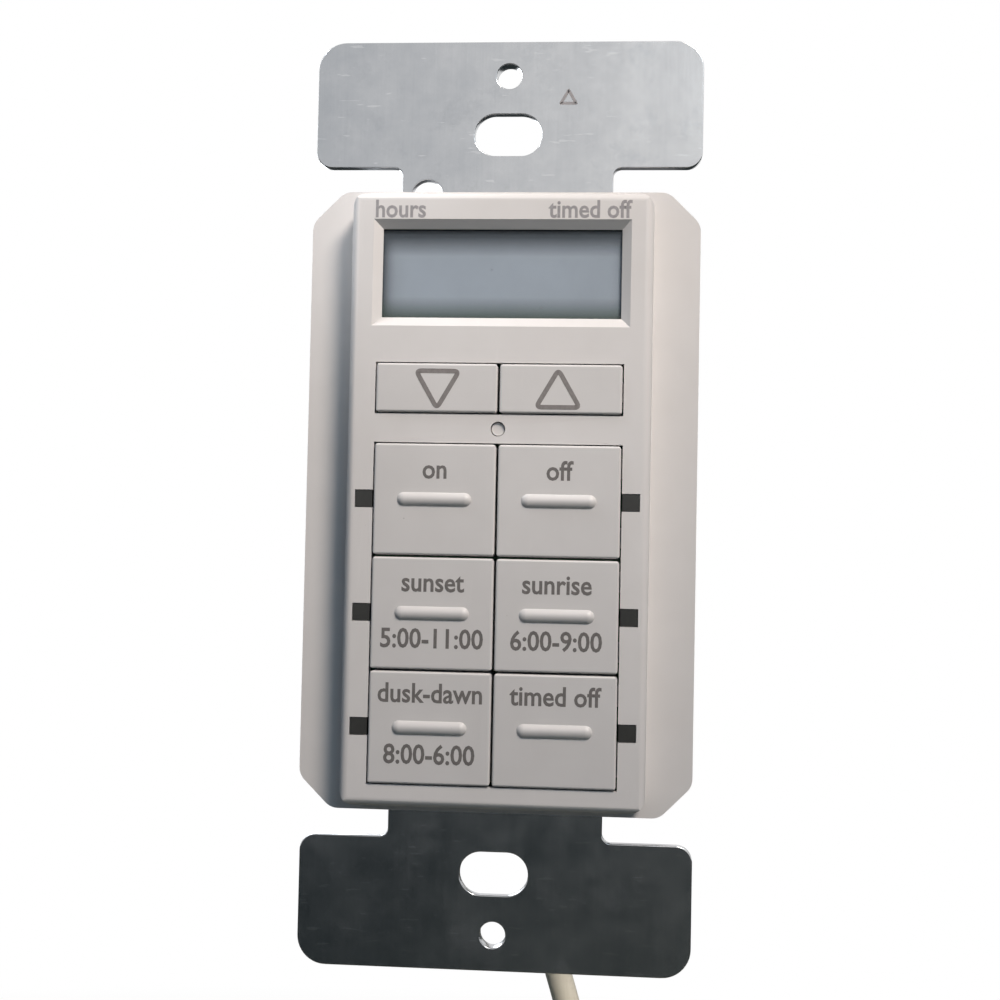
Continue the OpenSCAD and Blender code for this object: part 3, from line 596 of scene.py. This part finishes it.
# bright and dull ends are blended partly by random mottle and partly by the painted reflection sweep
strapZinc = zincPlate(
    "strapZinc", (0.605, 0.602, 0.605), (0.325, 0.345, 0.370), rough=0.21, halfWidth=22)
housingPlastic = mouldedPlastic(
    "housingPlastic", (0.030, 0.032, 0.034), (0.022, 0.024, 0.026), rough=0.52, skin=0.35, fleckShare=0.02)
keyInk = padInk("keyInk", (0.140, 0.129, 0.122))
markInk = padInk("markInk", (0.198, 0.181, 0.173))
faceInk = padInk("faceInk", (0.290, 0.278, 0.282))
lcdFinish = displayGlass("lcdFinish", displaySettings)
coverFinish = clearCover("coverFinish")
pipeFinish = compound("pipeFinish", (0.022, 0.022, 0.020), rough=0.36, grainScale=1800, skin=0.05)
grommetRubber = compound("grommetRubber", (0.018, 0.018, 0.019), rough=0.62, grainScale=2200, skin=0.2)
leadFinish = leadCover("leadFinish", (0.66, 0.62, 0.52), (0.58, 0.54, 0.44))
copperFinish = drawnMetal("copperFinish", (0.85, 0.46, 0.30), (0.62, 0.30, 0.18), rough=0.34)
screwFinish = drawnMetal(
    "screwFinish", (0.58, 0.59, 0.60), (0.42, 0.43, 0.44), rough=0.36, run=(1500, 1500, 1500))
canFinish = drawnMetal("canFinish", (0.66, 0.67, 0.68), (0.52, 0.53, 0.54), rough=0.32)
boardFinish = boardLaminate("boardFinish", (0.020, 0.115, 0.040), (0.045, 0.20, 0.075))
frameFinish = mouldedPlastic("frameFinish", (0.72, 0.70, 0.66), (0.68, 0.66, 0.62), rough=0.5)
stripRubber = compound("stripRubber", (0.035, 0.035, 0.038), rough=0.7, grainScale=6000, skin=0.25)
sheetFinish = compound("sheetFinish", (0.62, 0.50, 0.24), rough=0.45, grainScale=900)
switchPlastic = compound("switchPlastic", (0.020, 0.021, 0.023), rough=0.5)
ledResin = compound("ledResin", (0.72, 0.66, 0.40), rough=0.3, grainScale=1500, skin=0.05, coat=0.4)
chipResin = compound("chipResin", (0.014, 0.015, 0.016), rough=0.6, grainScale=4200, skin=0.25)
relayPlastic = compound("relayPlastic", (0.016, 0.018, 0.022), rough=0.42)
filmPlastic = compound("filmPlastic", (0.52, 0.32, 0.05), rough=0.4)
sleevePlastic = compound(
    "sleevePlastic", (0.025, 0.048, 0.130), rough=0.32, grainScale=1500, skin=0.06, coat=0.3)
varistorResin = compound("varistorResin", (0.025, 0.150, 0.420), rough=0.42, grainScale=1400, skin=0.3)
fuseBody = compound("fuseBody", (0.14, 0.070, 0.036), rough=0.5)
print("finishes mixed")


# bezel, strap, housing and grommets with their edges broken, widths in millimetres
edgeSettings = {
    "bezel": {"width": 0.10, "crisp": (0, 7.575, 1.2)},  # the reset hole stays crisp
    "strap": {"width": 0.40, "segments": 4, "joinFlats": 0.5},
    "housing": {"width": 0.30, "segments": 3},
    "grommet": {"width": 0.22, "segments": 3},
}
bezel = softCopy("front_bezel", "bezelShell", **edgeSettings["bezel"])
dress(bezel, bezelPlastic, "base", ["front_bezel"])
strap = softCopy("mounting_strap", "strapPlate", **edgeSettings["strap"])
dress(strap, strapZinc, "base", ["mounting_strap"])
housing = softCopy("rear_housing", "rearCup", **edgeSettings["housing"])
dress(housing, housingPlastic, "base", ["rear_housing"])
grommets = softCopy("lead_grommets", "exitGrommets", **edgeSettings["grommet"])
dress(grommets, grommetRubber, "base", ["lead_grommets"])
print("body pieces softened")

dress(strippedEnd, copperFinish, "base", ["neutral_lead_wire"])
dress(lead, leadFinish, "base", ["neutral_lead"])


# clear cover set a hair in front of the display
coverSettings = {
    "width": 28.8,
    "height": 13.4,
    "middle": 24.7,
    "back": 6.38,
    "front": 6.64,
    "edge": 0.06,
    "edgeSteps": 2,
}


def addCover(s):
    deselectAll()
    bpy.ops.mesh.primitive_cube_add(size=1)
    cover = bpy.context.object
    cover.name = cover.data.name = "displayCover"
    cover.scale = (s["width"] * mm, s["height"] * mm, (s["front"] - s["back"]) * mm)
    cover.location = (0, s["middle"] * mm, (s["front"] + s["back"]) / 2 * mm)
    freeze(cover)
    bpy.ops.object.mode_set(mode="EDIT")
    bpy.ops.mesh.select_all(action="SELECT")
    bpy.ops.mesh.bevel(offset=s["edge"] * mm, segments=s["edgeSteps"])
    bpy.ops.object.mode_set(mode="OBJECT")
    standUp(cover)
    smoothShade(cover)
    return cover


dress(addCover(coverSettings), coverFinish, "base", ["lcd_window"])

# legends: words sit on the face or ride on their keys
legendSettings = {
    "size": 2.95,
    "faceSize": 2.72,
    "narrow": 0.90,
    "xHeight": 1.6,
    "bold": 0.055,
    "rise": 0.012,
    "sink": 0.006,
    "curveSteps": 3,
    "faceZ": 7.5,
    "keyZ": 7.8,
    "words": [
        ("legendHours", "hours", -14.06, 31.6, "LEFT", "base"),
        ("legendTimedOff", "timed off", 14.02, 31.6, "RIGHT", "base"),
        ("legendOn", "on", -6.75, 2.9, "CENTER", "on_press"),
        ("legendOff", "off", 6.75, 2.9, "CENTER", "off_press"),
        ("legendSunset", "sunset", -6.75, -9.4, "CENTER", "dusk_press"),
        ("legendSunsetHours", "5:00-11:00", -6.75, -15.5, "CENTER", "dusk_press"),
        ("legendSunrise", "sunrise", 6.75, -9.4, "CENTER", "dawn_press"),
        ("legendSunriseHours", "6:00-9:00", 6.75, -15.5, "CENTER", "dawn_press"),
        ("legendDark", "dusk-dawn", -6.75, -21.4, "CENTER", "night_press"),
        ("legendDarkHours", "8:00-6:00", -6.75, -28.0, "CENTER", "night_press"),
        ("legendKeyTimedOff", "timed off", 6.75, -21.4, "CENTER", "timer_press"),
    ],
}


def addLegend(s, name, words, x, y, side, body):
    deselectAll()
    bpy.ops.object.text_add()
    legend = bpy.context.object
    legend.name = legend.data.name = name
    text = legend.data
    text.body = words
    text.size = s["faceSize" if body == "base" else "size"] * mm
    text.align_x = side
    text.offset = s["bold"] * mm
    text.extrude = (s["rise"] + s["sink"]) / 2 * mm
    text.resolution_u = s["curveSteps"]
    legend = toMesh(legend)
    mend(legend)
    surface = s["faceZ"] if body == "base" else s["keyZ"]
    middle = surface + (s["rise"] - s["sink"]) / 2
    legend.location = (x * mm, (y - s["xHeight"] / 2) * mm, middle * mm)
    legend.scale.x = s["narrow"]
    freeze(legend)
    standUp(legend)
    return dress(legend, faceInk if body == "base" else keyInk, body)


for entry in legendSettings["words"]:
    addLegend(legendSettings, *entry)

# arrow marks on two keys, and the small one on the upper ear: a three-sided ring with soft corners
markSettings = {
    "radius": 3.0,
    "cornerSteps": 6,
    "keyMark": {"width": 5.6, "height": 4.85, "line": 0.51, "corner": 1.0},
    "earMark": {"width": 2.3, "height": 2.0, "line": 0.34, "corner": 0.35},
    "places": [
        ("markDown", "keyMark", (-6.70, 11.9, 7.8), 180, "down_press", "key_plastic"),
        ("markUp", "keyMark", (6.48, 11.9, 7.8), 0, "up_press", "key_plastic"),
        ("markEar", "earMark", (6.77, 46.04, 1.2), 0, "base", "plated_steel"),
    ],
}


def shapeMark(s):
    deselectAll()
    radius = markSettings["radius"] * mm
    bpy.ops.mesh.primitive_circle_add(vertices=3, radius=radius, fill_type="NGON")
    mark = bpy.context.object
    mark.scale = (s["width"] * mm / mark.dimensions.x, s["height"] * mm / mark.dimensions.y, 1)
    freeze(mark)
    bpy.ops.object.mode_set(mode="EDIT")
    bpy.ops.mesh.select_all(action="SELECT")
    bpy.ops.mesh.bevel(offset=s["corner"] * mm, segments=markSettings["cornerSteps"], affect="VERTICES")
    bpy.ops.mesh.select_all(action="SELECT")
    bpy.ops.mesh.inset(thickness=s["line"] * mm, depth=0)
    bpy.ops.mesh.delete(type="ONLY_FACE")
    bpy.ops.mesh.select_all(action="SELECT")
    bpy.ops.mesh.extrude_region_move(TRANSFORM_OT_translate={
        "value": (0, 0, (legendSettings["rise"] + legendSettings["sink"]) * mm)})
    bpy.ops.object.mode_set(mode="OBJECT")
    mend(mark)
    heights = [v.co.y for v in mark.data.vertices]
    mark.location.y = -(max(heights) + min(heights)) / 2
    freeze(mark)
    return mark


def placeMark(ring, name, place, turn, body, slot):
    pick(ring)
    bpy.ops.object.duplicate()
    mark = bpy.context.object
    mark.name = mark.data.name = name
    mark.rotation_euler.z = math.radians(turn)
    mark.location = Vector(place) * mm - Vector((0, 0, legendSettings["sink"] * mm))
    freeze(mark)
    standUp(mark)
    return dress(mark, faceInk if body == "base" else markInk, body)


rings = {size: shapeMark(markSettings[size]) for size in ("keyMark", "earMark")}
for name, size, *rest in markSettings["places"]:
    placeMark(rings[size], name, *rest)
for ring in rings.values():
    bpy.data.objects.remove(ring)
print("legends printed")

# finishes for the nodes that stay as they are
keyNames = ["down", "up", "on", "off", "dusk", "dawn", "night", "timer"]
nodeFinishes = {
    "housing_screws": screwFinish, "display_board_screws": screwFinish, "power_board_screws": screwFinish,
    "lcd_panel": lcdFinish, "lcd_frame": frameFinish, "contact_strips": stripRubber,
    "insulating_sheet": sheetFinish, "display_board": boardFinish, "power_board": boardFinish,
    "switch_bodies": switchPlastic, "reset_plunger": switchPlastic, "indicator_leds": ledResin,
    "reset_pin": bezelPlastic, "controller_chip": chipResin, "rectifier": chipResin, "crystal": canFinish,
    "backup_cell": canFinish, "board_header": relayPlastic, "relay": relayPlastic,
    "film_capacitor": filmPlastic, "can_capacitor": sleevePlastic, "varistor": varistorResin,
    "fuse": fuseBody,
}
nodeFinishes.update({name + "_key": keyPlastic for name in keyNames})
nodeFinishes.update({name + "_plunger": switchPlastic for name in keyNames})
nodeFinishes.update({name + "_light_pipe": pipeFinish for name in keyNames[2:]})
for node, finish in nodeFinishes.items():
    for slot in nodes[node].material_slots:
        slot.material = finish
print("nodes finished:", len(nodeFinishes))


# floor and lights, in metres and watts
stageSettings = {
    "floorDrop": 0.0006,
    "floorReach": 8.0,
    "floorColour": (0.325, 0.290, 0.210),
    "floorLift": 0.55,  # white share of the near floor, as the camera sees it
    "zoneMiddle": (0.0, -0.42, 0.0),
    "seenZone": (0.40, 0.85),  # the floor fades to white between these, for the camera
    "mirrorZone": (6.0, 8.0),  # and between these in mirrors
    "skyColour": (0.56, 0.84, 1.26),
    "skyStrength": 0.15,
}
lampSettings = {
    "keyLamp": {
        "place": (0.136, -0.212, 0.256),
        "aim": (-0.014, -0.007, 0.024),
        "size": 0.12,
        "power": 0.165,
        "colour": (1.0, 0.895, 0.815),
        "spread": 60,
    },
    "leftLamp": {  # eases the shade at the top of the left flange
        "place": (-0.075, -0.026, 0.105),
        "aim": (-0.018, -0.004, 0.036),
        "size": 0.02,
        "power": 0.0017,
        "colour": (0.92, 0.95, 1.0),
        "spread": 22,
    },
    "fillLamp": {
        "place": (0.22, -0.60, 0.36),
        "aim": (0.0, 0.0, 0.0),
        "size": 0.25,
        "power": 0.07,
        "colour": (0.62, 0.84, 1.0),
        "spread": 70,
    },
    "sideLamp": {  # on the lead below the strap
        "place": (0.10, -0.04, -0.155),
        "aim": (0.009, 0.0346, -0.072),
        "size": 0.03,
        "power": 0.0055,
        "colour": (1.0, 0.93, 0.84),
        "spread": 30,
    },
    "backLamp": {
        "place": (-0.24, 0.52, 0.16),
        "aim": (0.0, 0.03, 0.0),
        "size": 0.35,
        "power": 0.22,
        "colour": (0.90, 0.95, 1.0),
        "spread": 40,
    },
}
white = (1, 1, 1, 1)


# what the camera, mirrors and clear pieces see
def rays(wire):
    path = wire.add("ShaderNodeLightPath").socket.node
    kinds = ("Is Camera Ray", "Is Glossy Ray", "Is Transmission Ray")
    return [Wire(wire.tree, path.outputs[kind]) for kind in kinds]


def addFloor(s):
    deselectAll()
    bpy.ops.mesh.primitive_plane_add(size=s["floorReach"] * 2)
    floor = bpy.context.object
    floor.name = "paleFloor"
    floor.location.z = cadBox[0][2] - s["floorDrop"]
    freeze(floor)
    material = bpy.data.materials.new("paleFloor")
    wire = blankTree(material)
    point = wire.add("ShaderNodeTexCoord", out="Object")
    away = wire.add("ShaderNodeVectorMath", {"operation": "DISTANCE"},
                    {0: point, 1: s["zoneMiddle"]}, out="Value")
    camera, glossy, through = rays(wire)
    seen = camera * away.span(*s["seenZone"], s["floorLift"], 1.0)
    mirrored = (glossy + through) * away.span(*s["mirrorZone"])
    mottle = noise(point, scale=30, detail=3).span(0.3, 0.7)
    tone = mottle.blend(scaled(s["floorColour"], 0.97), s["floorColour"])
    matte = wire.add("ShaderNodeBsdfDiffuse", None, {"Color": tone})
    glow = wire.add("ShaderNodeEmission", None, {"Color": white, "Strength": 1.0})
    mixed = wire.add("ShaderNodeMixShader", None, {0: seen + mirrored, 1: matte, 2: glow})
    wire.add("ShaderNodeOutputMaterial", None, {"Surface": mixed})
    floor.data.materials.append(material)


def addWorld(s):
    world = bpy.data.worlds.new("studio")
    bpy.context.scene.world = world
    wire = blankTree(world)
    camera, glossy, through = rays(wire)
    sky = wire.add("ShaderNodeBackground", None, {
        "Color": rgba(s["skyColour"]), "Strength": s["skyStrength"]})
    glow = wire.add("ShaderNodeBackground", None, {"Color": white, "Strength": 1.0})
    mixed = wire.add("ShaderNodeMixShader", None, {0: camera + glossy + through, 1: sky, 2: glow})
    wire.add("ShaderNodeOutputWorld", None, {"Surface": mixed})


def addLamp(name, s):
    bpy.ops.object.light_add(type="AREA", location=s["place"])
    lamp = bpy.context.object
    lamp.name = name
    towards = Vector(s["aim"]) - Vector(s["place"])
    lamp.rotation_euler = towards.to_track_quat("-Z", "Y").to_euler()
    lamp.data.shape = "DISK"
    lamp.data.size = s["size"]
    lamp.data.energy = s["power"]
    lamp.data.color = s["colour"]
    lamp.data.spread = math.radians(s["spread"])
    lamp.visible_camera = False


deselectAll()
addFloor(stageSettings)
addWorld(stageSettings)
for lampName, settings in lampSettings.items():
    addLamp(lampName, settings)
bpy.context.scene.view_settings.view_transform = "Standard"
print("stage lit")

deselectAll()
